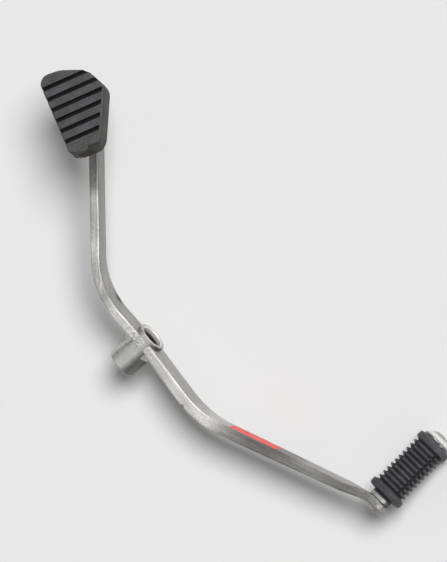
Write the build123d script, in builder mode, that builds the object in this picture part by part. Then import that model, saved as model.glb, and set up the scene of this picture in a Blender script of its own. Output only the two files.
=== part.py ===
from build123d import *
import os
from math import atan2, cos, degrees, radians, sin

# Heel-and-toe gear shift lever for a motorcycle. All sizes are millimetres.
# The origin is the middle of the pivot bore. +X points forward to the toe peg,
# +Y points outward from the engine along the bore, and +Z points up.
# Both arms are flat bar on edge, bent outward and welded to the pivot boss.
# The toe arm lies level and the heel arm climbs to the rear.

# Pivot boss
boss_diameter = 19.0
bore_diameter = 14.0
boss_length = 26.0
boss_chamfer = 0.7

# Fits: the gap left at round faces, and the gap under a weld before it is filled
round_gap = 0.05
rubber_gap = 0.15

# Bars: the distance out from the middle of the boss to the middle of each bar
bar_offset = 7.3
bar_edge_radius = 1.6

# Toe arm, seen from above: points forward of the pivot, the angle outward, and the lengths
# before its end in which the bar twists and bends to stand square to the peg
toe_bend_x = 57.8
toe_flare = 28.0
toe_bend_radius = 70.0
end_bend_x = 160.2
peg_x = 166.2
twist_length = 15.0
end_bend_length = 5.0
tab_run = 3.0
blend_step = 0.04
toe_thickness_boss = 6.3
toe_thickness_bend = 7.2
toe_thickness_end = 5.7
toe_height_boss = 16.6
toe_height_end = 14.5
toe_taper_past_bend = 18.0

# Heel arm, measured in its own sloping plane, backward from the pivot
heel_rise = 15.0
heel_bend_x = 41.9
heel_flare = 42.2
heel_bend_radius = 52.0
heel_arm_past_pad = 15.0
heel_thickness = 5.8
heel_height = 17.0

# Weld beads
bead_leg = 3.6
bead_cap = 1.2
bead_front_x = 2.2
heel_weld_start = 5.0
heel_weld_length = 14.0
heel_weld_leg = 1.8

# Toe peg: a turned pin that droops and leans back with the bar's end, and its rubber
peg_droop = 20.0
peg_lean = 9.6
peg_shank_diameter = 9.0
peg_spigot_diameter = 8.0
collar_diameter = 14.0
collar_length = 2.6
head_diameter = 18.0
head_rim = 0.8
head_dome = 5.7
peg_weld_diameter = 10.5
peg_weld_height = 1.2
peg_rubber_length = 44.8
peg_rubber_neck = 13.4
peg_rubber_neck_length = 1.6
peg_rubber_flange = 23.4
peg_rubber_flange_width = 4.4
peg_rubber_end_flange = 22.6
peg_rubber_end_width = 4.5
peg_flange_slope = 1.1
peg_flange_chamfer = 0.9
peg_rubber_ribs = 10
peg_rib_diameter = 21.2
peg_rib_root = 17.0
peg_channel_width = 2.2
peg_channel_count = 4
peg_channel_turn = 49.0
peg_channel_floor = 0.3

# Heel pad: its seat on the arm's top edge, how it leans and turns, and its outline's
# corners in its own plane, forward and outward from the seat, each with its radius
pad_reach = 107.0
pad_outward_lean = 14.8
pad_rear_lean = 11.5
pad_turn = 15.25
pad_corners = [
    ((-51.8, -16.8), 6.0),
    ((-50.8, -2.5), 25.0),
    ((-43.9, 13.2), 12.0),
    ((-29.6, 20.5), 9.5),
    ((4.2, 6.65), 9.0),
    ((4.1, -5.0), 6.0),
    ((1.2, -13.0), 2.5),
]
pad_thickness = 11.0
pad_above_plate = 6.0
pad_top_edge_radius = 1.2
pad_groove_count = 6
pad_groove_pitch = 7.37
pad_groove_width = 2.8
pad_groove_depth = 2.4
pad_groove_front = -6.1
pad_rim_width = 1.3
pad_nose_start = (1.8, -1.0)
pad_nose_angle = 97.0
pad_nose_run = 2.6

# Heel plate inside the rubber, and the lip that holds the rubber on from below
plate_thickness = 3.0
plate_inset = 2.2
lip_width = 2.0

os.makedirs("parts", exist_ok=True)


# Points beside a bent centre line, half the bar's thickness away from it
def beside(route, thicknesses, side):
    stretches = [(b - a).normalized() for a, b in zip(route, route[1:])]
    normals = [Vector(-s.Y, s.X) * side for s in stretches]
    points = []
    for i, (point, thickness) in enumerate(zip(route, thicknesses)):
        before, after = normals[max(i - 1, 0)], normals[min(i, len(normals) - 1)]
        mitre = (before + after).normalized()
        points.append(point + mitre * (thickness / 2 / mitre.dot(after)))
    return points


# Side shape of a bar, drawn from its bent centre line
def bar_outline(route, thicknesses, radii):
    left = FilletPolyline(*beside(route, thicknesses, 1), radius=radii[0])
    right = FilletPolyline(*beside(route, thicknesses, -1), radius=radii[1])
    Line(left @ 0, right @ 0)
    Line(left @ 1, right @ 1)


def outward(start, length, angle):
    return start + Vector(cos(radians(angle)), sin(radians(angle))) * length


# Centre line of the toe arm in the level plane
toe_root = Vector(0, bar_offset)
toe_bend = Vector(toe_bend_x, bar_offset)
toe_bend_inside = toe_bend_radius - toe_thickness_bend / 2
toe_run = (end_bend_x - toe_bend_x) / cos(radians(toe_flare))
end_bend = outward(toe_bend, toe_run, toe_flare)
nose_radius = toe_height_end / 2
peg_point = outward(end_bend, (peg_x - end_bend_x) / cos(radians(peg_lean)), peg_lean)
twist_start = outward(end_bend, -twist_length, toe_flare)
bend_start = outward(end_bend, -end_bend_length, toe_flare)
tab_start = outward(peg_point, -tab_run, peg_lean)
bend_middle = bend_start * 0.25 + end_bend * 0.5 + tab_start * 0.25
toe_taper_start = toe_bend_x + toe_taper_past_bend
toe_taper = (toe_height_boss - toe_height_end) / (peg_x - toe_taper_start)
twist_height = toe_height_end + toe_taper * (peg_x - twist_start.X)

# Toe peg's axis, square to the bar's end, and the middle of that end's outer face
peg_axis = Vector(0, 1, 0).rotate(Axis.X, -peg_droop).rotate(Axis.Z, peg_lean)
arm_face = peg_point + peg_axis * (toe_thickness_end / 2)
peg_line = Axis(arm_face, peg_axis)
tab_way = outward(Vector(), 1, peg_lean)
peg_up = tab_way.cross(peg_axis)
peg_plane = Plane(origin=arm_face, x_dir=peg_axis, z_dir=peg_up)


# Plane across the toe bar's end, turned by part of the bend and of the twist
def end_plane(point, bend_share, twist_share):
    way = outward(Vector(), 1, toe_flare + (peg_lean - toe_flare) * bend_share)
    up = Vector(0, 0, 1).rotate(Axis((0, 0, 0), way), -peg_droop * twist_share)
    return Plane(origin=point, x_dir=up, z_dir=way)


# Centre line of the heel arm in its own plane, which climbs to the rear
heel_plane = Plane(
    origin=(0, 0, 0),
    x_dir=(cos(radians(heel_rise)), 0, -sin(radians(heel_rise))),
    z_dir=(sin(radians(heel_rise)), 0, cos(radians(heel_rise))),
)
heel_root = Vector(0, bar_offset)
heel_arm_reach = pad_reach + heel_arm_past_pad
heel_bend = Vector(-heel_bend_x, bar_offset)
heel_run = (heel_arm_reach - heel_bend_x) / cos(radians(heel_flare))
heel_end = outward(heel_bend, heel_run, 180 - heel_flare)

# Plane of the heel plate's underside, through the top edge of the heel arm
heel_way = Vector(-cos(radians(heel_flare)), sin(radians(heel_flare)))
pad_point = heel_bend + heel_way * ((pad_reach - heel_bend_x) / cos(radians(heel_flare)))
pad_seat = heel_plane.from_local_coords(pad_point + Vector(0, 0, heel_height / 2))
pad_plane = Plane(Location(pad_seat, (-pad_outward_lean, -pad_rear_lean, -pad_turn)))
pad_top = plate_thickness + pad_above_plate
pad_bottom = pad_top - pad_thickness

boss_radius = boss_diameter / 2
cope_radius = boss_radius + round_gap
across = 400

# Pivot boss: a plain tube
with BuildPart() as pivot_boss:
    with BuildSketch(Plane.XZ):
        Circle(boss_radius)
        Circle(bore_diameter / 2, mode=Mode.SUBTRACT)
    extrude(amount=boss_length / 2, both=True)
    chamfer(pivot_boss.edges().filter_by(GeomType.CIRCLE), boss_chamfer)

# Toe bar before its edges are rounded: the view from above meets the side view
with BuildPart() as toe_bar:
    with BuildSketch(Plane.XY):
        with BuildLine():
            bar_outline(
                [toe_root, toe_bend, twist_start],
                [toe_thickness_boss, toe_thickness_bend, toe_thickness_end],
                [[toe_bend_inside], [toe_bend_inside + toe_thickness_bend]],
            )
        make_face()
    extrude(amount=toe_height_boss, both=True)
    with BuildSketch(Plane.XZ):
        with BuildLine():
            Polyline(
                (0, -toe_height_boss / 2),
                (toe_taper_start, -toe_height_boss / 2),
                (peg_x, -nose_radius),
                (peg_x, nose_radius),
                (toe_taper_start, toe_height_boss / 2),
                (0, toe_height_boss / 2),
                close=True,
            )
        make_face()
    extrude(amount=across, both=True, mode=Mode.INTERSECT)

# The flat at the end of the toe arm, with a round nose, which carries the peg
with BuildPart() as peg_tab:
    with BuildSketch(Plane(peg_point, x_dir=tab_way, z_dir=peg_axis)):
        Circle(nose_radius)
        with Locations((-nose_radius / 2, 0)):
            Rectangle(nose_radius, toe_height_end)
    extrude(amount=toe_thickness_end / 2, both=True)
    split(bisect_by=Plane(tab_start, z_dir=tab_way), keep=Keep.TOP)
    rims = peg_tab.edges().filter_by(lambda e: abs((e.center() - peg_point).dot(peg_axis)) > 1)
    fillet(rims.filter_by(lambda e: (e.center() - tab_start).dot(tab_way) > 0.5), bar_edge_radius)

# Toe arm: the bar, a hair larger than the twisted stretch that joins it to the flat end
blend_thickness = toe_thickness_end - blend_step
with BuildPart() as toe_arm:
    add(toe_bar.part)
    long_edges = toe_arm.edges().filter_by(lambda e: 1 < e.center().X < twist_start.X - toe_thickness_end)
    fillet(long_edges, bar_edge_radius)
    with BuildSketch(end_plane(twist_start, 0, 0)):
        RectangleRounded(twist_height - blend_step, blend_thickness, bar_edge_radius)
    with BuildSketch(end_plane(bend_start, 0, 1 - (end_bend_length + tab_run) / twist_length)):
        RectangleRounded((twist_height + toe_height_end) / 2, blend_thickness, bar_edge_radius)
    with BuildSketch(end_plane(bend_middle, 0.5, 1 - tab_run / twist_length)):
        RectangleRounded(toe_height_end, blend_thickness, bar_edge_radius)
    with BuildSketch(end_plane(tab_start, 1, 1)):
        RectangleRounded(toe_height_end - blend_step, blend_thickness, bar_edge_radius)
    loft(ruled=True)
    add(peg_tab.part)
    with BuildSketch(Plane.XZ):
        Circle(cope_radius)
    extrude(amount=across, both=True, mode=Mode.SUBTRACT)
    with BuildSketch(Plane(arm_face, x_dir=tab_way, z_dir=peg_axis)):
        Circle(peg_spigot_diameter / 2 + round_gap)
    extrude(amount=-toe_thickness_end, mode=Mode.SUBTRACT)
    with BuildSketch(Plane(arm_face, x_dir=tab_way, z_dir=peg_axis)):
        Circle(collar_diameter / 2 + round_gap)
    extrude(amount=collar_length, mode=Mode.SUBTRACT)

# Heel bar before its edges are rounded, and the arm, cut level where the plate lies on it
with BuildPart() as heel_bar:
    with BuildSketch(heel_plane):
        with BuildLine():
            bar_outline(
                [heel_root, heel_bend, heel_end],
                [heel_thickness] * 3,
                [[heel_bend_radius + heel_thickness / 2], [heel_bend_radius - heel_thickness / 2]],
            )
        make_face()
    extrude(amount=heel_height / 2, both=True)

with BuildPart() as heel_arm:
    add(heel_bar.part)
    fillet(heel_arm.edges().filter_by(lambda e: e.center().X < -1), bar_edge_radius)
    with BuildSketch(Plane.XZ):
        Circle(cope_radius)
    extrude(amount=across, both=True, mode=Mode.SUBTRACT)
    split(bisect_by=pad_plane, keep=Keep.BOTTOM)

# The end of the heel bar that the rubber has to clear
with BuildPart() as bar_under_plate:
    add(heel_bar.part)
    split(bisect_by=pad_plane, keep=Keep.BOTTOM)

# Ring bead round the boss, against the inner sides of both arms
bar_inner = bar_offset - toe_thickness_boss / 2
bead_back = bar_offset - heel_thickness / 2
with BuildPart() as boss_weld:
    with BuildSketch(Plane.XY):
        with BuildLine():
            foot = Polyline(
                (cope_radius, bar_inner - bead_leg),
                (cope_radius, bead_back),
                (cope_radius + bead_leg, bead_back),
                (cope_radius + bead_leg, bar_inner),
            )
            bulge = (cope_radius + bead_leg * 0.6, bar_inner - bead_leg * 0.6)
            ThreePointArc(foot @ 1, bulge, foot @ 0)
        make_face()
    revolve(axis=Axis.Y)
    with BuildSketch(Plane.XZ):
        with Locations((across / 4, 0)):
            Rectangle(across / 2, toe_height_boss - bar_edge_radius * 2)
        with PolarLocations(across / 4, 1, 180 - heel_rise):
            Rectangle(across / 2, heel_height - bar_edge_radius * 2)
    extrude(amount=across, both=True, mode=Mode.INTERSECT)
    add(toe_bar.part, mode=Mode.SUBTRACT)
    add(heel_bar.part, mode=Mode.SUBTRACT)

# Bead over the top of the boss, which joins the heel arm to the toe arm
with BuildPart() as top_weld:
    with BuildSketch(Plane.XZ.offset(-bead_back)):
        Circle(cope_radius + bead_cap)
        Circle(cope_radius, mode=Mode.SUBTRACT)
        with Locations((bead_front_x - across / 2, across / 2)):
            Rectangle(across, across, mode=Mode.INTERSECT)
    extrude(amount=-heel_thickness)
    add(toe_bar.part, mode=Mode.SUBTRACT)
    add(heel_bar.part, mode=Mode.SUBTRACT)

# Toe peg pin, turned: spigot through the bar, collar, shank and domed head
head_start = collar_length + peg_rubber_length
head_edge = head_start + head_rim
with BuildPart() as peg_pin:
    with BuildSketch(peg_plane):
        with BuildLine():
            below_head = Polyline(
                (-toe_thickness_end, 0),
                (-toe_thickness_end, peg_spigot_diameter / 2),
                (0, peg_spigot_diameter / 2),
                (0, collar_diameter / 2),
                (collar_length, collar_diameter / 2),
                (collar_length, peg_shank_diameter / 2),
                (head_start, peg_shank_diameter / 2),
                (head_start, head_diameter / 2),
                (head_edge, head_diameter / 2),
            )
            apex = (head_edge + head_dome, 0)
            TangentArc(apex, below_head @ 1, tangent=(0, 1))
            Line(apex, below_head @ 0)
        make_face()
    revolve(axis=peg_line)

# Weld over the spigot's end on the inner side of the bar
with BuildPart() as peg_weld:
    with BuildSketch(Plane(arm_face - peg_axis * toe_thickness_end, x_dir=tab_way, z_dir=-peg_axis)):
        Circle(peg_weld_diameter / 2)
    extrude(amount=peg_weld_height, taper=40)
    add(toe_arm.part, mode=Mode.SUBTRACT)

# Toe peg rubber: a ribbed sleeve with a flange at each end and channels along it
rubber_start = collar_length
flange_start = rubber_start + peg_rubber_neck_length
rib_start = flange_start + peg_rubber_flange_width + peg_flange_slope
rib_end = head_start - peg_rubber_end_width - peg_flange_slope
rib_pitch = (rib_end - rib_start) / peg_rubber_ribs
with BuildPart() as peg_rubber:
    sleeve = [
        (rubber_start, peg_shank_diameter / 2 + rubber_gap),
        (rubber_start, peg_rubber_neck / 2),
        (flange_start, peg_rubber_neck / 2),
        (flange_start, peg_rubber_flange / 2),
        (rib_start - peg_flange_slope, peg_rubber_flange / 2),
        (rib_start, peg_rib_root / 2),
    ]
    for i in range(peg_rubber_ribs):
        sleeve += [(rib_start + rib_pitch * (i + 0.5), peg_rib_diameter / 2)]
        sleeve += [(rib_start + rib_pitch * (i + 1), peg_rib_root / 2)]
    sleeve += [
        (rib_end + peg_flange_slope, peg_rubber_end_flange / 2),
        (head_start, peg_rubber_end_flange / 2),
        (head_start, peg_shank_diameter / 2 + rubber_gap),
    ]
    with BuildSketch(peg_plane):
        with BuildLine():
            Polyline(*sleeve, close=True)
        make_face()
    revolve(axis=peg_line)
    rims = peg_rubber.edges().filter_by(GeomType.CIRCLE)
    between = (peg_rib_diameter + peg_rubber_end_flange) / 4
    chamfer(rims.filter_by(lambda e: e.radius > between), peg_flange_chamfer)
    with BuildSketch(Plane(arm_face + peg_axis * rib_start, x_dir=peg_up, z_dir=peg_axis)):
        with PolarLocations(peg_rib_diameter / 2, peg_channel_count, peg_channel_turn):
            Rectangle(peg_rib_diameter - peg_rib_root - peg_channel_floor * 2, peg_channel_width)
    extrude(amount=rib_end - rib_start, mode=Mode.SUBTRACT)

# Outline of the heel pad, square to its own plane
with BuildSketch(Plane.XY) as pad_outline:
    with BuildLine():
        corners = [corner for corner, radius in pad_corners]
        FilletPolyline(*corners, radius=[radius for corner, radius in pad_corners], close=True)
    make_face()

# Heel plate, which lies on the slanting end of the arm, inside the rubber
with BuildPart() as heel_plate:
    with BuildSketch(pad_plane):
        add(pad_outline.sketch)
        offset(amount=-plate_inset, mode=Mode.REPLACE)
    extrude(amount=plate_thickness)

# Beads along both sides of the arm under the plate
arm_side = heel_plane.x_dir * sin(radians(heel_flare)) + heel_plane.y_dir * cos(radians(heel_flare))
weld_way = pad_plane.z_dir.cross(arm_side).normalized()
weld_plane = Plane(
    origin=pad_seat + weld_way * (heel_weld_start + heel_weld_length / 2),
    x_dir=weld_way,
    z_dir=-pad_plane.z_dir,
)
with BuildPart() as heel_weld:
    with BuildSketch(weld_plane):
        Rectangle(heel_weld_length, heel_thickness + 2 * heel_weld_leg)
    extrude(amount=heel_weld_leg, taper=45)
    add(heel_bar.part, mode=Mode.SUBTRACT)

# Heel pad rubber: grooved on top, sloping at its nose, with a pocket for the plate
with BuildPart() as heel_rubber:
    with BuildSketch(pad_plane.offset(pad_bottom)):
        add(pad_outline.sketch)
    extrude(amount=pad_thickness)
    fillet(heel_rubber.faces().sort_by(Axis(pad_seat, pad_plane.z_dir))[-1].edges(), pad_top_edge_radius)
    nose_point = pad_plane.offset(pad_top).from_local_coords(pad_nose_start)
    nose_plane = Plane(nose_point, x_dir=pad_plane.x_dir, z_dir=pad_plane.z_dir)
    nose_plane = nose_plane.rotated((0, 0, pad_nose_angle))
    with BuildSketch(Plane(nose_point, x_dir=-nose_plane.y_dir, z_dir=-nose_plane.x_dir)):
        with BuildLine():
            Polyline((0, 0), (across, 0), (across, -pad_thickness * across / pad_nose_run), close=True)
        make_face()
    extrude(amount=across, both=True, mode=Mode.SUBTRACT)
    with BuildSketch(pad_plane.offset(pad_top)):
        with Locations((pad_groove_front - pad_groove_pitch * (pad_groove_count - 1) / 2, 0)):
            with GridLocations(pad_groove_pitch, 1, pad_groove_count, 1):
                Rectangle(pad_groove_width, across)
        rim_from, rim_to = Vector(*pad_corners[3][0]), Vector(*pad_corners[4][0])
        rim_way = (rim_to - rim_from).normalized()
        inward = rim_way.rotate(Axis.Z, -90) * (across / 2 + pad_rim_width)
        with Locations(rim_from + inward):
            Rectangle(across, across, rotation=degrees(atan2(rim_way.Y, rim_way.X)), mode=Mode.INTERSECT)
    extrude(amount=-pad_groove_depth, mode=Mode.SUBTRACT)
    with BuildSketch(pad_plane):
        add(pad_outline.sketch)
        offset(amount=-plate_inset + rubber_gap, mode=Mode.REPLACE)
    extrude(amount=plate_thickness, mode=Mode.SUBTRACT)
    with BuildSketch(pad_plane):
        add(pad_outline.sketch)
        offset(amount=-plate_inset - lip_width, mode=Mode.REPLACE)
    extrude(amount=pad_bottom, mode=Mode.SUBTRACT)
    with BuildSketch(weld_plane):
        Rectangle(heel_weld_length + rubber_gap * 2, heel_thickness + (heel_weld_leg + rubber_gap) * 2)
    extrude(amount=-pad_bottom, mode=Mode.SUBTRACT)
    add(bar_under_plate.part, mode=Mode.SUBTRACT)

pieces = {
    "pivot_boss": pivot_boss,
    "toe_arm": toe_arm,
    "heel_arm": heel_arm,
    "boss_weld": boss_weld,
    "top_weld": top_weld,
    "peg_pin": peg_pin,
    "peg_weld": peg_weld,
    "peg_rubber": peg_rubber,
    "heel_plate": heel_plate,
    "heel_weld": heel_weld,
    "heel_rubber": heel_rubber,
}
for name, piece in pieces.items():
    piece.part.label = name
    export_step(piece.part, f"parts/{name}.step")
    print(name, round(piece.part.volume), piece.part.is_valid)
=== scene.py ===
import math

import bmesh
import bpy
from mathutils import Matrix, Vector, noise


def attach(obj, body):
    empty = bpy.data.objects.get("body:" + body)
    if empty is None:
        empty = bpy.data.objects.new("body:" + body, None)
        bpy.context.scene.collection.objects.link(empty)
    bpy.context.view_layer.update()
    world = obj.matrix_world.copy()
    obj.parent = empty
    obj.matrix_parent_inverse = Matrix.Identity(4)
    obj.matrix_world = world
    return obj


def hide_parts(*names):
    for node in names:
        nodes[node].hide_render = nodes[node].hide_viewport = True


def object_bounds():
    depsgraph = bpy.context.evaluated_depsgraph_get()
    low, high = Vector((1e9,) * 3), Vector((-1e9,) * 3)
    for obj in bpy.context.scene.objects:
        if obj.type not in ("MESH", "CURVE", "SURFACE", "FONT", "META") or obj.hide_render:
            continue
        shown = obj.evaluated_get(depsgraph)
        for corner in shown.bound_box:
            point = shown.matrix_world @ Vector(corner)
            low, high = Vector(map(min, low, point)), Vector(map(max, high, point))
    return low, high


# Heel-and-toe gear shift lever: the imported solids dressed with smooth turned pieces, a weld
# bead, rubbers, plating and a plain paper label. Lengths are in millimetres, and mm makes
# them metres.
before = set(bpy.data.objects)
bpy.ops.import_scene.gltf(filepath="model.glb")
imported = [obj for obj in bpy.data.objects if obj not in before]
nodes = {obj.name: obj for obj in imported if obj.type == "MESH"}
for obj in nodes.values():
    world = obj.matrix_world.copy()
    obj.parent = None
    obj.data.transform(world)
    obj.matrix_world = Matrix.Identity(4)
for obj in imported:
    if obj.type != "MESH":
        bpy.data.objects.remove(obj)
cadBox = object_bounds()
mm = 0.001
print("frame loaded:", len(nodes), "nodes")


# Materials

def newMaterial(name):
    material = bpy.data.materials.new(name)
    material.use_nodes = True
    tree = material.node_tree
    return material, tree, tree.nodes["Principled BSDF"]


# A value that a piece's mesh carries
def carried(tree, name, output="Fac"):
    attribute = tree.nodes.new("ShaderNodeAttribute")
    attribute.attribute_name = name
    return attribute.outputs[output]


# Noise on the object's own coordinates, or on the place that the mesh carries; stretch
# pulls the grain out along an axis
def grain(tree, scale, detail=4.0, stretch=(1, 1, 1), roughness=0.5, place=None):
    if place is None:
        place = tree.nodes.new("ShaderNodeTexCoord").outputs["Object"]
    mapping = tree.nodes.new("ShaderNodeMapping")
    mapping.inputs["Scale"].default_value = stretch
    texture = tree.nodes.new("ShaderNodeTexNoise")
    texture.inputs["Scale"].default_value = scale
    texture.inputs["Detail"].default_value = detail
    texture.inputs["Roughness"].default_value = roughness
    tree.links.new(place, mapping.inputs["Vector"])
    tree.links.new(mapping.outputs["Vector"], texture.inputs["Vector"])
    return texture.outputs["Fac"]


# Most of a noise lies between these two
grainLow, grainHigh = 0.3, 0.7


def combined(tree, operation, first, second):
    maths = tree.nodes.new("ShaderNodeMath")
    maths.operation = operation
    for socket, value in zip(maths.inputs, (first, second)):
        if isinstance(value, (int, float)):
            socket.default_value = value
        else:
            tree.links.new(value, socket)
    return maths.outputs["Value"]


# A vector changed by a fixed one, or measured
def vectored(tree, operation, output, first, fixed=None):
    maths = tree.nodes.new("ShaderNodeVectorMath")
    maths.operation = operation
    tree.links.new(first, maths.inputs[0])
    if fixed:
        maths.inputs[1].default_value = fixed
    return maths.outputs[output]


# Two colours, the second brought in by the amount
def mixed(tree, amount, first, second, blend="MIX"):
    mix = tree.nodes.new("ShaderNodeMix")
    mix.data_type = "RGBA"
    mix.blend_type = blend
    for socket, value in zip((mix.inputs[0], *mix.inputs[6:8]), (amount, first, second)):
        if isinstance(value, (int, float)):
            socket.default_value = value
        elif isinstance(value, tuple):
            socket.default_value = (*value, 1)
        else:
            tree.links.new(value, socket)
    return mix.outputs[2]


def multiplied(tree, first, second):
    return mixed(tree, 1.0, first, second, "MULTIPLY")


# Greys set out along a length in millimetres
def toneAlong(tree, value, length, stops):
    ramp = tree.nodes.new("ShaderNodeValToRGB")
    elements = ramp.color_ramp.elements
    while len(elements) > 1:
        elements.remove(elements[-1])
    for i, (at, grey) in enumerate(stops):
        element = elements[0] if i == 0 else elements.new(at / length)
        element.position = at / length
        element.color = (grey, grey, grey, 1)
    tree.links.new(combined(tree, "DIVIDE", value, length), ramp.inputs["Fac"])
    return ramp.outputs["Color"]


def spread(tree, value, low, high, fromLow=grainLow, fromHigh=grainHigh):
    span = tree.nodes.new("ShaderNodeMapRange")
    span.inputs["From Min"].default_value = fromLow
    span.inputs["From Max"].default_value = fromHigh
    span.inputs["To Min"].default_value = low
    span.inputs["To Max"].default_value = high
    tree.links.new(value, span.inputs["Value"])
    return span.outputs["Result"]


def tint(tree, value, dark, light):
    ramp = tree.nodes.new("ShaderNodeValToRGB")
    ramp.color_ramp.elements[0].color = (*dark, 1)
    ramp.color_ramp.elements[1].color = (*light, 1)
    ramp.color_ramp.elements[0].position = grainLow
    ramp.color_ramp.elements[1].position = grainHigh
    tree.links.new(value, ramp.inputs["Fac"])
    return ramp.outputs["Color"]


# The depth is in millimetres
def relief(tree, value, strength, depth, under=None):
    bump = tree.nodes.new("ShaderNodeBump")
    bump.inputs["Strength"].default_value = strength
    bump.inputs["Distance"].default_value = depth * mm
    tree.links.new(value, bump.inputs["Height"])
    if under:
        tree.links.new(under, bump.inputs["Normal"])
    return bump.outputs["Normal"]


# How far the surface faces along a direction, as a value from low to high
def facing(tree, way, low, high, fromTo):
    normal = tree.nodes.new("ShaderNodeNewGeometry").outputs["Normal"]
    return spread(tree, vectored(tree, "DOT_PRODUCT", "Value", normal, way), low, high, *fromTo)


platedLook = {
    "dark": (0.42, 0.42, 0.395),
    "light": (0.60, 0.60, 0.575),
    "rough": (0.24, 0.40),
    "scale": 160,
    "fineScale": 1500,
    "fineDepth": 0.06,
    "bump": 0.25,
    # The flank tone is painted shade on what faces forward, along +X
    "flankShade": 1.0,  # the tone of a flank that faces forward
    "flankFrom": (0.35, 0.80),
}

# What each plated finish has of its own
platedFinishes = {
    "plateSteel": {},
    "bossSteel": {"dark": (0.46, 0.455, 0.435), "scale": 300, "bump": 0.15, "flankShade": 0.30},
    "collarSteel": {"rough": (0.4, 0.6), "bump": 0.4, "flankShade": 0.22},
    "beadSteel": {"dark": (0.34, 0.33, 0.30), "rough": (0.24, 0.5), "bump": 0.6, "flankShade": 0.5},
    "dressedSteel": {"dark": (0.34, 0.34, 0.31), "light": (0.95, 0.95, 0.91),
                     "rough": (0.4, 0.6), "scale": 900, "bump": 1.0},
}


# Satin nickel-chrome over sanded steel, with painted shade on the flanks that face forward
def platedSteel(name, look):
    material, tree, shader = newMaterial(name)
    broad = grain(tree, look["scale"], 4)
    fine = grain(tree, look["fineScale"], 5)
    colour = tint(tree, broad, look["dark"], look["light"])
    # Painted shade: flanks that face +X take the look's flank tone
    shade = facing(tree, (1, 0, 0), 1, look["flankShade"], look["flankFrom"])
    normal = relief(tree, fine, look["bump"], look["fineDepth"])
    tree.links.new(multiplied(tree, colour, shade), shader.inputs["Base Color"])
    tree.links.new(spread(tree, broad, *look["rough"]), shader.inputs["Roughness"])
    tree.links.new(normal, shader.inputs["Normal"])
    shader.inputs["Metallic"].default_value = 1
    return material


# Each grain's noise and, for most, its darkest and lightest tone; each relief is its
# strength and its depth
barLook = {
    "warmth": (1.0, 0.985, 0.945),
    "streaks": {"scale": 1.0, "detail": 5, "stretch": (0.035, 1.1, 1.1), "roughness": 0.6},
    "streaksTone": (0.70, 1.30),
    "patches": {"scale": 0.12, "detail": 3, "stretch": (0.6, 1, 1), "roughness": 0.55},
    "patchesTone": (0.90, 1.08),
    "specks": {"scale": 1.7, "detail": 2, "stretch": (0.6, 1, 1), "roughness": 0.5},
    "specksTone": (0.80, 1.20),
    "sanding": {"scale": 1.1, "detail": 4, "stretch": (0.7, 1, 1), "roughness": 0.65},
    "sandingTone": (0.50, 1.65),
    "scratches": {"scale": 5.0, "detail": 4, "stretch": (0.05, 1, 1), "roughness": 0.6},
    "rough": (0.22, 0.42),
    "roughDressed": 0.28,
    "topFrom": (0.35, 0.85),  # how far up a face turns to count as the top
    "shadedNickFrom": (0.5, 1.2),
    "specksRelief": (0.35, 0.12),
    "scratchesRelief": (0.25, 0.04),
    "patchesRelief": (0.3, 0.4),
    "sandingRelief": (0.8, 0.6),
    "pastEnd": 10.0,  # how far the greys run on past the bar's end
}


# The same plating on a bar: sanding streaks run along it, and its top and sides each
# have their own painted light and shade, as greys from the boss to the end
def barPlating(name, look, length, bar):
    material, tree, shader = newMaterial(name)
    place = carried(tree, "barPlace", "Vector")
    split = tree.nodes.new("ShaderNodeSeparateXYZ")
    tree.links.new(place, split.inputs["Vector"])
    along = split.outputs["X"]
    # Painted light and shade: the top and the sides each take their own greys along the bar
    upward = facing(tree, (0, 0, 1), 0, 1, look["topFrom"])
    grey = mixed(tree, upward, toneAlong(tree, along, length, bar["sideTones"]),
                 toneAlong(tree, along, length, bar["topTones"]))
    marks = {kind: grain(tree, place=place, **look[kind])
             for kind in ("streaks", "patches", "specks", "sanding", "scratches")}
    for kind in ("streaks", "patches", "specks"):
        grey = multiplied(tree, grey, spread(tree, marks[kind], *look[kind + "Tone"]))
    # Coarse sanding where the weld was dressed
    dressing = toneAlong(tree, along, length, bar["rough"])
    sanded = multiplied(tree, grey, spread(tree, marks["sanding"], *look["sandingTone"]))
    grey = mixed(tree, dressing, grey, sanded)
    # A nick is painted shade: a small dark oval in a long edge, where its notch lies in shadow
    apart = vectored(tree, "SUBTRACT", "Vector", place, bar["shadedNick"]["at"])
    shrunk = vectored(tree, "DIVIDE", "Vector", apart, bar["shadedNick"]["reach"])
    far = vectored(tree, "LENGTH", "Value", shrunk)
    grey = multiplied(tree, grey, spread(tree, far, bar["shadedNick"]["grey"], 1, *look["shadedNickFrom"]))
    tree.links.new(multiplied(tree, grey, look["warmth"]), shader.inputs["Base Color"])
    duller = combined(tree, "MULTIPLY", dressing, look["roughDressed"])
    roughness = combined(tree, "ADD", spread(tree, marks["streaks"], *look["rough"]), duller)
    tree.links.new(roughness, shader.inputs["Roughness"])
    normal = None
    for kind in ("specks", "scratches", "patches"):
        normal = relief(tree, marks[kind], *look[kind + "Relief"], normal)
    coarse = combined(tree, "MULTIPLY", marks["sanding"], dressing)
    normal = relief(tree, coarse, *look["sandingRelief"], normal)
    tree.links.new(normal, shader.inputs["Normal"])
    shader.inputs["Metallic"].default_value = 1
    return material


boreLook = {
    "dark": (0.05, 0.045, 0.04),
    "light": (0.80, 0.78, 0.75),
    "shadeFrom": 4.5,  # in from the mouth
    "lightTo": 1.2,
    "rough": 0.45,
    "metallic": 0.6,
}


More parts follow.
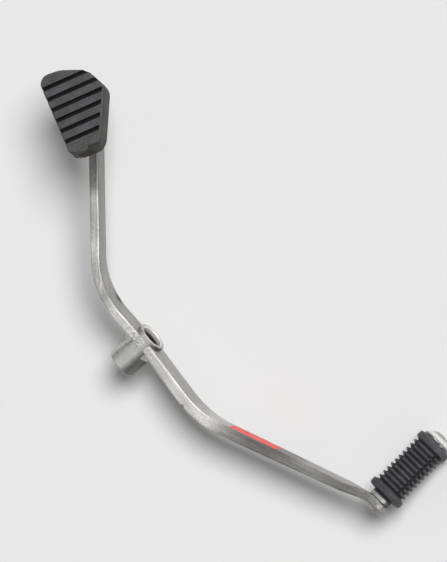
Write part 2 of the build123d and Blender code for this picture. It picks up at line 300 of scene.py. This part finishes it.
# The bore's wall: dull steel with painted light at its mouths and painted shade farther in
def boreWall(look, half):
    material, tree, shader = newMaterial("boreSteel")
    split = tree.nodes.new("ShaderNodeSeparateXYZ")
    place = tree.nodes.new("ShaderNodeTexCoord").outputs["Object"]
    tree.links.new(place, split.inputs["Vector"])
    out = combined(tree, "ABSOLUTE", split.outputs["Y"], 0)
    near = spread(tree, out, 0, 1, (half - look["shadeFrom"]) * mm, (half - look["lightTo"]) * mm)
    colour = tint(tree, near, look["dark"], look["light"])
    tree.links.new(colour, shader.inputs["Base Color"])
    shader.inputs["Roughness"].default_value = look["rough"]
    shader.inputs["Metallic"].default_value = look["metallic"]
    return material


chromeLook = {
    "dark": (0.92, 0.91, 0.90),
    "light": (1.0, 0.99, 0.98),
    "rough": (0.20, 0.30),
    "hazeScale": 300,
}


# Chrome; the head carries painted light and shade, a light ring between darker ones
def brightChrome(look):
    material, tree, shader = newMaterial("brightChrome")
    haze = grain(tree, look["hazeScale"], 2)
    tree.links.new(spread(tree, haze, *look["rough"]), shader.inputs["Roughness"])
    colour = tint(tree, haze, look["dark"], look["light"])
    toned = multiplied(tree, colour, carried(tree, "paintedLight"))
    tree.links.new(toned, shader.inputs["Base Color"])
    shader.inputs["Metallic"].default_value = 1
    return material


padUp = (-0.199368, 0.250318, 0.947414)
rubberLook = {
    "bloomScale": 120,
    "pitScale": 2200,
    "pitDepth": 0.08,
    "dustScale": 750,
    "dustTone": (0.75, 1.25),
    "shine": 0.4,
    "rough": (0.46, 0.62),
    "topFrom": (0.45, 0.85),
}
padLook = {
    "dark": (0.050, 0.052, 0.047),
    "light": (0.080, 0.078, 0.088),
    "pitting": 1.0,
    "top": padUp,
    # Painted shade for the faces turned from the top
    "side": (0.033, 0.030, 0.026),
}
sleeveLook = {
    "dark": (0.030, 0.030, 0.033),
    "light": (0.056, 0.056, 0.062),
    "pitting": 0.6,
}


# Moulded rubber; where the look names a top, what faces away from it takes painted shade, darker
# and browner
def blackRubber(name, look):
    material, tree, shader = newMaterial(name)
    bloom = grain(tree, look["bloomScale"], 4)
    pits = grain(tree, look["pitScale"], 3)
    dust = grain(tree, look["dustScale"], 3, roughness=0.6)
    colour = tint(tree, bloom, look["dark"], look["light"])
    if "top" in look:
        turned = facing(tree, look["top"], 0, 1, look["topFrom"])
        colour = mixed(tree, turned, look["side"], colour)
    dusty = spread(tree, dust, *look["dustTone"])
    # The painted light and shade that the mesh carries, with dust
    paintedLight = combined(tree, "MULTIPLY", carried(tree, "paintedLight"), dusty)
    gloss = combined(tree, "MULTIPLY", paintedLight, look["shine"])
    normal = relief(tree, pits, look["pitting"], look["pitDepth"])
    tree.links.new(multiplied(tree, colour, paintedLight), shader.inputs["Base Color"])
    tree.links.new(gloss, shader.inputs["Specular IOR Level"])
    tree.links.new(spread(tree, bloom, *look["rough"]), shader.inputs["Roughness"])
    tree.links.new(normal, shader.inputs["Normal"])
    return material


paperLook = {
    "dark": (0.76, 0.055, 0.05),
    "light": (0.90, 0.12, 0.105),
    "fibreScale": 400,
    "fibreRelief": (0.2, 0.05),
    "rough": 0.55,
}


def redPaper(look):
    material, tree, shader = newMaterial("redPaper")
    fibre = grain(tree, look["fibreScale"], 4)
    colour = tint(tree, fibre, look["dark"], look["light"])
    tree.links.new(colour, shader.inputs["Base Color"])
    tree.links.new(relief(tree, fibre, *look["fibreRelief"]), shader.inputs["Normal"])
    shader.inputs["Roughness"].default_value = look["rough"]
    return material


plated = {name: platedSteel(name, {**platedLook, **own}) for name, own in platedFinishes.items()}
pinChrome = brightChrome(chromeLook)
padRubber = blackRubber("padRubber", {**rubberLook, **padLook})
sleeveRubber = blackRubber("sleeveRubber", {**rubberLook, **sleeveLook})
labelPaper = redPaper(paperLook)
print("materials made")


# Making pieces

# Points nearer than these are joined, and faces turned less than flatWithin are one
solidJoin = 0.002 * mm
turnedJoin = 0.001 * mm
cutJoin = 0.0001 * mm
flatWithin = math.radians(0.4)


def finished(name, mesh, material, replaced, sharpAngle=35):
    for polygon in mesh.polygons:
        polygon.use_smooth = True
    mesh.set_sharp_from_angle(angle=math.radians(sharpAngle))
    mesh.materials.clear()
    mesh.materials.append(material)
    piece = bpy.data.objects.new(name, mesh)
    bpy.context.scene.collection.objects.link(piece)
    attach(piece, "root")
    if replaced:
        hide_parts(*replaced)
    return piece


def meshFrom(bm, name):
    mesh = bpy.data.meshes.new(name)
    bm.to_mesh(mesh)
    bm.free()
    return mesh


# Painted light and shade at each vertex, worked out from its place, that the material takes up
def paintLightAndShade(mesh, shadingAt):
    paintedShading = mesh.attributes.new("paintedLight", "FLOAT", "POINT")
    for vert, item in zip(mesh.vertices, paintedShading.data):
        item.value = shadingAt(vert.co)


# A value read off a list of places and values, straight between them
def readOff(stops, at):
    for (a, low), (b, high) in zip(stops, stops[1:]):
        if at < b:
            return low + (high - low) * max(at - a, 0) / (b - a)
    return stops[-1][1]


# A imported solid's own mesh, its loose triangles joined and its flat faces made whole
def solidCopy(node):
    bm = bmesh.new()
    bm.from_mesh(nodes[node].data)
    bmesh.ops.remove_doubles(bm, verts=bm.verts, dist=solidJoin)
    bmesh.ops.dissolve_limit(bm, angle_limit=flatWithin, verts=bm.verts, edges=bm.edges)
    return bm


# A turned piece: the profile runs along X with its radius in Y, and spins round X
def turned(profile, steps, closed=False):
    bm = bmesh.new()
    points = [bm.verts.new((x * mm, r * mm, 0)) for x, r in profile]
    for a, b in zip(points, points[1:]):
        bm.edges.new((a, b))
    if closed:
        bm.edges.new((points[-1], points[0]))
    bmesh.ops.spin(bm, geom=bm.verts[:] + bm.edges[:], cent=(0, 0, 0), axis=(1, 0, 0),
                   angle=math.tau, steps=steps, use_merge=True)
    bmesh.ops.remove_doubles(bm, verts=bm.verts, dist=turnedJoin)
    bmesh.ops.recalc_face_normals(bm, faces=bm.faces)
    return bm


def arc(centre, radius, fromAngle, toAngle, count):
    turn = (toAngle - fromAngle) / count
    angles = [math.radians(fromAngle + turn * i) for i in range(count + 1)]
    return [(centre[0] + radius * math.cos(a), centre[1] + radius * math.sin(a)) for a in angles]


# Flat bars: the line each follows seen from above in its own plane, how far it climbs, how
# often it is cut across, how much its flat faces rule its shading, the painted light and
# shade greys of its top and sides, the roughness along it and its nick's painted shade
bars = {
    "toe_arm": {
        "name": "toeArm",
        "climb": 0.0,
        "line": ((0, 7.3), (57.8, 7.3), (160.2, 61.75), (172, 63.74)),
        "cut": 4.0,
        "flatness": 80,
        "topTones": ((0, 0.60), (16, 0.62), (26, 0.66), (36, 0.80), (46, 0.72), (56, 0.80),
                     (64, 0.78), (74, 0.46), (84, 0.28), (94, 0.20), (104, 0.21), (114, 0.23),
                     (134, 0.31), (154, 0.25), (162, 0.20), (170, 0.26), (184, 0.30)),
        "sideTones": ((0, 0.44), (8, 0.44), (16, 0.42), (36, 0.42), (46, 0.40), (56, 0.52),
                      (66, 0.58), (76, 0.45), (90, 0.28), (112, 0.17), (124, 0.20),
                      (134, 0.38), (150, 0.39), (165, 0.40), (184, 0.28)),
        "rough": ((0, 0.8), (10, 0.6), (16, 0.25), (60, 0.25), (75, 0.1), (150, 0.1),
                  (168, 0.4), (184, 0.5)),
        "shadedNick": {"at": (46.2, -2.8, 8.2), "reach": (1.4, 1.5, 1.6), "grey": 0.35},
    },
    "heel_arm": {
        "name": "heelArm",
        "climb": 15.0,
        "line": ((0, 7.3), (-41.9, 7.3), (-122, 79.95)),
        "cut": 4.0,
        "flatness": 80,
        "topTones": ((0, 0.72), (12, 0.66), (25, 0.76), (36, 0.44), (48, 0.58), (58, 0.50),
                     (69, 0.70), (80, 0.55), (88, 0.45), (98, 0.60), (106, 0.24),
                     (112, 0.17), (118, 0.12), (150, 0.12)),
        "sideTones": ((0, 0.44), (10, 0.40), (26, 0.34), (36, 0.32), (48, 0.36), (58, 0.31),
                      (78, 0.28), (98, 0.25), (108, 0.22), (118, 0.19), (150, 0.18)),
        "rough": ((0, 1), (13, 0.9), (17, 0.12), (150, 0.08)),
        "shadedNick": {"at": (30.5, -2.9, -5.2), "reach": (4.2, 3.0, 2.8), "grey": 0.12},
    },
}


# How far along its line a place is, and how far beside it
def besideLine(place, line):
    run = 0.0
    for i in range(len(line) - 1):
        start, end = Vector(line[i]), Vector(line[i + 1])
        way = (end - start).normalized()
        if i < len(line) - 2:
            nextWay = (Vector(line[i + 2]) - end).normalized()
            if (place - end).dot(way + nextWay) > 0:
                run += (end - start).length
                continue
        return run + (place - start).dot(way), (place - start).dot(Vector((-way.y, way.x)))


# Cuts across the bar, so that what its mesh carries follows the bends
def cutAcross(bm, line, lift, step):
    for a, b in zip(line, line[1:]):
        start, end = Vector(a), Vector(b)
        way = (end - start).normalized()
        count = int((end - start).length / step)
        for i in range(1, count + 1):
            point = start + way * (i * step)
            geometry = bm.verts[:] + bm.edges[:] + bm.faces[:]
            bmesh.ops.bisect_plane(bm, geom=geometry, dist=cutJoin,
                                   plane_co=lift @ point.to_3d() * mm,
                                   plane_no=lift @ way.to_3d())


def makeBar(node, b):
    line = b["line"]
    lift = Matrix.Rotation(math.radians(b["climb"]), 3, "Y")
    length = sum((Vector(q) - Vector(p)).length for p, q in zip(line, line[1:]))
    bm = solidCopy(node)
    cutAcross(bm, line, lift, b["cut"])
    mesh = meshFrom(bm, b["name"])
    places = mesh.attributes.new("barPlace", "FLOAT_VECTOR", "POINT")
    for vert, place in zip(mesh.vertices, places.data):
        flat = lift.transposed() @ vert.co / mm
        place.vector = (*besideLine(flat.xy, line), flat.z)
    material = barPlating(b["name"] + "Plating", barLook, length + barLook["pastEnd"], b)
    piece = finished(b["name"], mesh, material, [node], sharpAngle=30)
    weighted = piece.modifiers.new("flat faces stay flat", "WEIGHTED_NORMAL")
    weighted.keep_sharp = True
    weighted.weight = b["flatness"]


for node, bar in bars.items():
    makeBar(node, bar)
print("bars made")

# Pivot boss
boss = {
    "length": 26.0,
    "outerRadius": 9.5,
    "boreRadius": 7.0,
    "edge": 0.7,
    "steps": 128,
}


def makeBoss(b):
    half, edge = b["length"] / 2, b["edge"]
    outer, bore = b["outerRadius"], b["boreRadius"]
    profile = [(-half + edge, bore), (-half, bore + edge)]
    profile += arc((-half + edge, outer - edge), edge, 180, 90, 6)
    profile += arc((half - edge, outer - edge), edge, 90, 0, 6)
    profile += [(half, bore + edge), (half - edge, bore)]
    bm = turned(profile, b["steps"], closed=True)
    alongBore = Matrix.Rotation(math.radians(90), 4, "Z")
    bmesh.ops.transform(bm, matrix=alongBore, verts=bm.verts)
    mesh = meshFrom(bm, "pivotBoss")
    finished("pivotBoss", mesh, plated["bossSteel"], ["pivot_boss"])
    mesh.materials.append(boreWall(boreLook, half))
    for polygon in mesh.polygons:
        middle = polygon.center
        inside = math.hypot(middle.x, middle.z) < (bore + edge) * mm
        polygon.material_index = int(inside)


makeBoss(boss)
print("boss made")

# Dressed weld over the top of the boss, which carries the heel arm's top on to the toe arm
overWeld = {
    "from": -5.2,
    "to": 2.4,
    "inner": 4.5,
    "outer": 10.1,
    "radius": 10.35,
    "depth": 1.6,
    "lump": 0.22,
    "lumpsPerMm": 1.6,
    "lumpSlice": 5,  # where the noise is cut, for other lumps
    "ragged": 0.9,
    "raggedPerMm": 1.3,
    "raggedSlice": 3.1,
    "shoulder": 0.5,
    "steps": (30, 24),
}


def makeOverWeld(w):
    bm = bmesh.new()
    bmesh.ops.create_grid(bm, x_segments=w["steps"][0], y_segments=w["steps"][1], size=0.5)
    for vert in bm.verts:
        u, v = vert.co.x + 0.5, vert.co.y + 0.5
        y = w["inner"] + (w["outer"] - w["inner"]) * v
        raggedAt = Vector((w["raggedSlice"], y * w["raggedPerMm"], 0))
        ragged = noise.noise(raggedAt) * w["ragged"] * u
        x = w["from"] + (w["to"] - w["from"]) * u + ragged
        lumpAt = Vector((x * w["lumpsPerMm"], y * w["lumpsPerMm"], w["lumpSlice"]))
        lump = noise.fractal(lumpAt, 0.6, 2.0, 3) * w["lump"]
        # The edges at both sides and at the front thin out
        shoulder = (abs(2 * v - 1) ** 6 + u ** 10) * w["shoulder"]
        radius = w["radius"] + lump - shoulder
        vert.co = (x * mm, y * mm, math.sqrt(radius ** 2 - x ** 2) * mm)
    made = bmesh.ops.extrude_face_region(bm, geom=bm.faces[:])["geom"]
    under = [item for item in made if isinstance(item, bmesh.types.BMVert)]
    bmesh.ops.translate(bm, vec=(0, 0, -w["depth"] * mm), verts=under)
    bmesh.ops.recalc_face_normals(bm, faces=bm.faces)
    mesh = meshFrom(bm, "overWeld")
    finished("overWeld", mesh, plated["dressedSteel"], ["top_weld"],
             sharpAngle=50)


makeOverWeld(overWeld)
print("weld dressed")

# The toe peg's place: the middle of the bar's outer face at its end, and how the peg hangs
pegPlace = {
    "foot": (165.753, 65.403, -0.975),
    "droop": 20.0,
    "lean": 9.6,
}
pegDroop = Matrix.Rotation(math.radians(-pegPlace["droop"]), 3, "X")
pegTurn = Matrix.Rotation(math.radians(pegPlace["lean"]), 3, "Z") @ pegDroop
pegAxis = pegTurn @ Vector((0, 1, 0))
pegUp = pegTurn @ Vector((0, 0, 1))
pegMatrix = Matrix((pegAxis, pegUp, pegAxis.cross(pegUp))).transposed().to_4x4()
pegMatrix.translation = Vector(pegPlace["foot"]) * mm

# Peg pin; its painted light and shade runs along it from the back of the head
pin = {
    "collarRadius": 7.0,
    "collarLength": 2.6,
    "collarRound": 0.5,
    "shankRadius": 4.5,
    "headStart": 47.4,
    "headRadius": 9.0,
    "headRim": 0.8,
    "headRound": 0.3,
    "headDome": 5.7,
    "spigotRadius": 4.0,
    "spigotStart": -5.7,
    "paintedShading": ((47.4, 0.15), (48.7, 0.22), (49.6, 0.92), (51.0, 1.0), (51.9, 0.55),
              (52.8, 0.40), (53.9, 0.50)),
    "steps": 128,
}


def makePin(p):
    collar, collarRound = p["collarRadius"], p["collarRound"]
    head, start, headRound = p["headRadius"], p["headStart"], p["headRound"]
    # The dome is part of a circle through the rim and the crown
    domeRadius = (head ** 2 + p["headDome"] ** 2) / (2 * p["headDome"])
    rimAngle = math.degrees(math.asin(head / domeRadius))
    domeCentre = (start + p["headRim"] + p["headDome"] - domeRadius, 0)
    profile = [(p["spigotStart"], 0), (p["spigotStart"], p["spigotRadius"])]
    profile += [(0, p["spigotRadius"]), (0, collar)]
    profile += arc((p["collarLength"] - collarRound, collar - collarRound), collarRound, 90, 0, 4)
    profile += [(p["collarLength"], p["shankRadius"]), (start, p["shankRadius"])]
    profile += arc((start + headRound, head - headRound), headRound, 180, 90, 3)
    profile += arc(domeCentre, domeRadius, rimAngle, 0, 24)
    bm = turned(profile, p["steps"])
    bmesh.ops.transform(bm, matrix=pegMatrix, verts=bm.verts)
    mesh = meshFrom(bm, "pegPin")
    finished("pegPin", mesh, pinChrome, ["peg_pin"], sharpAngle=40)
    back = pegMatrix.inverted()
    paintLightAndShade(mesh, lambda place: readOff(p["paintedShading"], (back @ place).x / mm))
    mesh.materials.append(plated["collarSteel"])
    for polygon in mesh.polygons:
        polygon.material_index = int((back @ polygon.center).x < start * mm)


makePin(pin)

# Peg rubber; painted shade darkens the roots and, more, the channels' floor, and a painted
# highlight lights the crests
sleeve = {
    "start": 2.6,
    "end": 47.4,
    "boreRadius": 4.65,
    "neckRadius": 6.7,
    "neckLength": 1.6,
    "flangeRadius": 11.7,
    "flangeWidth": 4.4,
    "endFlangeRadius": 11.3,
    "endFlangeWidth": 4.5,
    "slope": 1.1,
    "flangeRound": 1.6,
    "ribs": 10,
    "ribRadius": 10.6,
    "rootRadius": 8.4,
    "stepsPerRib": 10,
    "crestSharpness": 0.85,
    "channels": 4,
    "channelTurn": 49.0,
    "channelWidth": 2.2,
    "channelFloor": 8.8,
    "channelEdge": 0.1,
    "rootShade": 0.6,
    "lowTone": 0.9,
    "channelShade": 0.3,
    "flankTone": 1.05,
    "crestHighlight": 1.45,
    "flangeTone": 1.0,
    "steps": 192,
}


def makeSleeve(s):
    flangeStart = s["start"] + s["neckLength"]
    ribStart = flangeStart + s["flangeWidth"] + s["slope"]
    ribEnd = s["end"] - s["endFlangeWidth"] - s["slope"]
    pitch = (ribEnd - ribStart) / s["ribs"]
    turn, innerTurn = s["flangeRound"], s["flangeRound"] / 2
    flange, endFlange = s["flangeRadius"], s["endFlangeRadius"]
    profile = [(s["start"], s["boreRadius"]), (s["start"], s["neckRadius"])]
    profile += [(flangeStart, s["neckRadius"])]
    profile += arc((flangeStart + turn, flange - turn), turn, 180, 90, 6)
    profile += arc((ribStart - s["slope"] - innerTurn, flange - innerTurn), innerTurn, 90, 20, 4)
    for i in range(s["ribs"] * s["stepsPerRib"] + 1):
        swell = 0.5 - 0.5 * math.cos(math.tau * i / s["stepsPerRib"])
        height = (s["ribRadius"] - s["rootRadius"]) * swell ** s["crestSharpness"]
        profile.append((ribStart + pitch * i / s["stepsPerRib"], s["rootRadius"] + height))
    profile += arc((ribEnd + s["slope"] + innerTurn, endFlange - innerTurn), innerTurn, 160, 90, 4)
    profile += arc((s["end"] - turn, endFlange - turn), turn, 90, 0, 6)
    profile += [(s["end"], s["boreRadius"])]
    bm = turned(profile, s["steps"], closed=True)
    # Channels along the ribs: what stands higher than the channel's floor is pressed down to it
    for vert in bm.verts:
        radius = math.hypot(vert.co.y, vert.co.z)
        if not ribStart * mm < vert.co.x < ribEnd * mm or radius < s["channelFloor"] * mm:
            continue
        for k in range(s["channels"]):
            middle = math.radians(s["channelTurn"] + 360 / s["channels"] * k)
            angle = math.atan2(vert.co.z, vert.co.y) - middle
            angle = (angle + math.pi) % math.tau - math.pi
            if abs(angle) * s["ribRadius"] < s["channelWidth"] / 2:
                shrink = s["channelFloor"] * mm / radius
                vert.co = (vert.co.x, vert.co.y * shrink, vert.co.z * shrink)
    mesh = meshFrom(bm, "pegRubber")
    # Painted shade in the roots and on the channels' floor, and a painted highlight on the crests
    low, high = s["channelFloor"] - s["channelEdge"], s["channelFloor"] + s["channelEdge"]
    paintedShading = ((s["rootRadius"], s["rootShade"]), (low, s["lowTone"]),
             (s["channelFloor"], s["channelShade"]), (high, s["flankTone"]),
             (s["ribRadius"], s["crestHighlight"]), (flange, s["flangeTone"]))
    paintLightAndShade(mesh, lambda place: readOff(paintedShading, math.hypot(place.y, place.z) / mm))
    mesh.transform(pegMatrix)
    finished("pegRubber", mesh, sleeveRubber, ["peg_rubber"], sharpAngle=50)


makeSleeve(sleeve)
print("toe peg made")

# Heel pad rubber
pad = {
    "edgeRound": 0.8,
    "edgeSteps": 3,
    "edgeAngle": 40,
    "seat": (-101.154, 66.329, 35.904),
    "up": padUp,
    "top": 9.0,
    "grooveDepth": 2.4,
    "grooveShade": 0.17,
    "grooveWithin": 0.1,
}


def makePad(p):
    mesh = meshFrom(solidCopy("heel_rubber"), "heelRubber")
    seat, up = Vector(p["seat"]), Vector(p["up"])
    grooveFloor = p["top"] - p["grooveDepth"]

    # Painted shade, dark on the grooves' floor
    def grooveShade(place):
        above = (place / mm - seat).dot(up) - grooveFloor
        return p["grooveShade"] if abs(above) < p["grooveWithin"] else 1.0

    paintLightAndShade(mesh, grooveShade)
    piece = finished("heelRubber", mesh, padRubber, ["heel_rubber"],
                     sharpAngle=30)
    bevel = piece.modifiers.new("moulded edges", "BEVEL")
    bevel.width = p["edgeRound"] * mm
    bevel.segments = p["edgeSteps"]
    bevel.limit_method = "ANGLE"
    bevel.angle_limit = math.radians(p["edgeAngle"])
    bevel.harden_normals = True


makePad(pad)
print("heel pad made")

# Nodes that show as they are, each with its finish
plainNodes = {
    "boss_weld": "beadSteel",
    "peg_weld": "beadSteel",
    "heel_weld": "beadSteel",
    "heel_plate": "plateSteel",
}
for node, finish in plainNodes.items():
    nodes[node].data.materials.clear()
    nodes[node].data.materials.append(plated[finish])

# Paper label on the toe arm's outer face, left plain
label = {
    "length": 33.0,
    "height": 11.2,
    "thickness": 0.12,
    "middle": (88.0, 27.18, 0.0),
    "turn": 27.63,
}


def makeLabel(p):
    bm = bmesh.new()
    bmesh.ops.create_cube(bm, size=mm)
    bmesh.ops.scale(bm, vec=(p["length"], p["thickness"], p["height"]), verts=bm.verts)
    turn = Matrix.Rotation(math.radians(p["turn"]), 3, "Z")
    bmesh.ops.rotate(bm, cent=(0, 0, 0), matrix=turn, verts=bm.verts)
    bmesh.ops.translate(bm, vec=Vector(p["middle"]) * mm, verts=bm.verts)
    finished("paperLabel", meshFrom(bm, "paperLabel"), labelPaper, [])


makeLabel(label)
print("label made")

# Camera, at the photograph's angle, with a long lens; its distance is in metres
view = {
    "toViewer": (0.2447, 0.3256, 0.9133),
    "imageUp": (-0.7792, 0.6265, -0.0146),
    "imageWidth": 447,
    "imageHeight": 562,
    "pivotPixel": (136.9, 350.2),
    "pixelSize": 0.59,
    "distance": 9.0,
    "middleDepth": 30.0,
    "sensor": 36,
    "clipEnd": 100,
}


def makeCamera(v):
    toViewer, up = Vector(v["toViewer"]).normalized(), Vector(v["imageUp"]).normalized()
    right = up.cross(toViewer)
    acrossMiddle = (v["imageWidth"] / 2 - v["pivotPixel"][0]) * v["pixelSize"]
    upMiddle = (v["pivotPixel"][1] - v["imageHeight"] / 2) * v["pixelSize"]
    target = (right * acrossMiddle + up * upMiddle + toViewer * v["middleDepth"]) * mm
    data = bpy.data.cameras.new("camera")
    data.sensor_width = v["sensor"]
    data.lens = v["sensor"] * v["distance"] / (v["imageHeight"] * v["pixelSize"] * mm)
    data.clip_end = v["clipEnd"]
    camera = bpy.data.objects.new("camera", data)
    turn = Matrix((right, up, toViewer)).transposed().to_4x4()
    turn.translation = target + toViewer * v["distance"]
    camera.matrix_world = turn
    bpy.context.scene.collection.objects.link(camera)
    bpy.context.scene.camera = camera


makeCamera(view)
print("camera placed")

# Floor; its size is in metres and its drop below the part in millimetres
floor = {
    "size": 30.0,
    "drop": 0.5,
    "colour": (0.80, 0.80, 0.80),
    "rough": 0.9,
    "shine": 0.1,
}


def makeFloor(f):
    material, _, shader = newMaterial("paleFloor")
    shader.inputs["Base Color"].default_value = (*f["colour"], 1)
    shader.inputs["Roughness"].default_value = f["rough"]
    shader.inputs["Specular IOR Level"].default_value = f["shine"]
    bm = bmesh.new()
    bmesh.ops.create_grid(bm, x_segments=1, y_segments=1, size=f["size"] / 2)
    bmesh.ops.translate(bm, vec=(0, 0, cadBox[0].z - f["drop"] * mm), verts=bm.verts)
    mesh = meshFrom(bm, "floor")
    mesh.materials.append(material)
    plane = bpy.data.objects.new("floor", mesh)
    bpy.context.scene.collection.objects.link(plane)


makeFloor(floor)

# Lights: a broad key that stands far off and two strips that edge the bars. The key has the
# way it comes from, its strength and its width in degrees; a strip its place, size and power
lights = {
    "key": {"from": (0.088, 0.62, 0.93), "strength": 2.93, "width": 25.0},
    "edgeStrip": {"at": (-0.10, 1.30, 0.50), "size": (1.20, 0.22), "power": 7.0},
    "lineStrip": {"at": (1.00, 0.56, 0.36), "size": (0.40, 0.30), "power": 3.4},
}


def makeLight(name, kind, at):
    data = bpy.data.lights.new(name, kind)
    lamp = bpy.data.objects.new(name, data)
    lamp.location = at
    lamp.rotation_mode = "QUATERNION"
    lamp.rotation_quaternion = Vector(at).to_track_quat("Z", "Y")
    bpy.context.scene.collection.objects.link(lamp)
    # The strips make the highlights and the key all else
    lamp.visible_glossy = kind == "AREA"
    lamp.visible_diffuse = kind == "SUN"
    return data


def makeLights(several):
    key = several["key"]
    sun = makeLight("key", "SUN", key["from"])
    sun.energy = key["strength"]
    sun.angle = math.radians(key["width"])
    for name in ("edgeStrip", "lineStrip"):
        strip = several[name]
        edge = makeLight(name, "AREA", strip["at"])
        edge.shape = "RECTANGLE"
        edge.size, edge.size_y = strip["size"]
        edge.energy = strip["power"]


makeLights(lights)

# World: soft pale light, and a pale studio with a darker band low down for what reflects it.
# The band's and the overhead's places are heights from the level, 0, to straight up, 1
studio = {
    "ambient": 0.24,
    "backdrop": 0.80,
    "lowBand": 0.28,
    "lowBandAt": (0.12, 0.30),
    "overhead": 0.85,
    "overheadAt": 0.75,
}


def pale(grey):
    return (grey, grey, grey, 1)


def makeWorld(w):
    world = bpy.data.worlds.new("studio")
    world.use_nodes = True
    bpy.context.scene.world = world
    tree = world.node_tree
    tree.nodes.clear()
    path = tree.nodes.new("ShaderNodeLightPath")

    def background(grey):
        node = tree.nodes.new("ShaderNodeBackground")
        node.inputs["Color"].default_value = pale(grey)
        return node

    # One shader for the rays of a kind and another for the rest
    def chosen(rays, rest, own):
        mix = tree.nodes.new("ShaderNodeMixShader")
        for socket, value in zip(mix.inputs, (path.outputs[rays], rest, own)):
            tree.links.new(value, socket)
        return mix.outputs[0]

    place = tree.nodes.new("ShaderNodeTexCoord")
    split = tree.nodes.new("ShaderNodeSeparateXYZ")
    ramp = tree.nodes.new("ShaderNodeValToRGB")
    tree.links.new(place.outputs["Generated"], split.inputs["Vector"])
    tree.links.new(split.outputs["Z"], ramp.inputs["Fac"])
    stops = ramp.color_ramp.elements
    stops[0].position, stops[1].position = 0.0, w["overheadAt"]
    stops[0].color = pale(w["backdrop"])
    stops[1].color = pale(w["overhead"])
    for position in w["lowBandAt"]:
        stops.new(position).color = pale(w["lowBand"])
    reflected = background(w["backdrop"])
    tree.links.new(ramp.outputs["Color"], reflected.inputs["Color"])
    bounced = chosen("Is Glossy Ray", background(w["ambient"]).outputs[0], reflected.outputs[0])
    shown = chosen("Is Camera Ray", bounced, background(w["backdrop"]).outputs[0])
    out = tree.nodes.new("ShaderNodeOutputWorld")
    tree.links.new(shown, out.inputs["Surface"])


makeWorld(studio)
bpy.context.scene.view_settings.view_transform = "Standard"
print("studio lit")
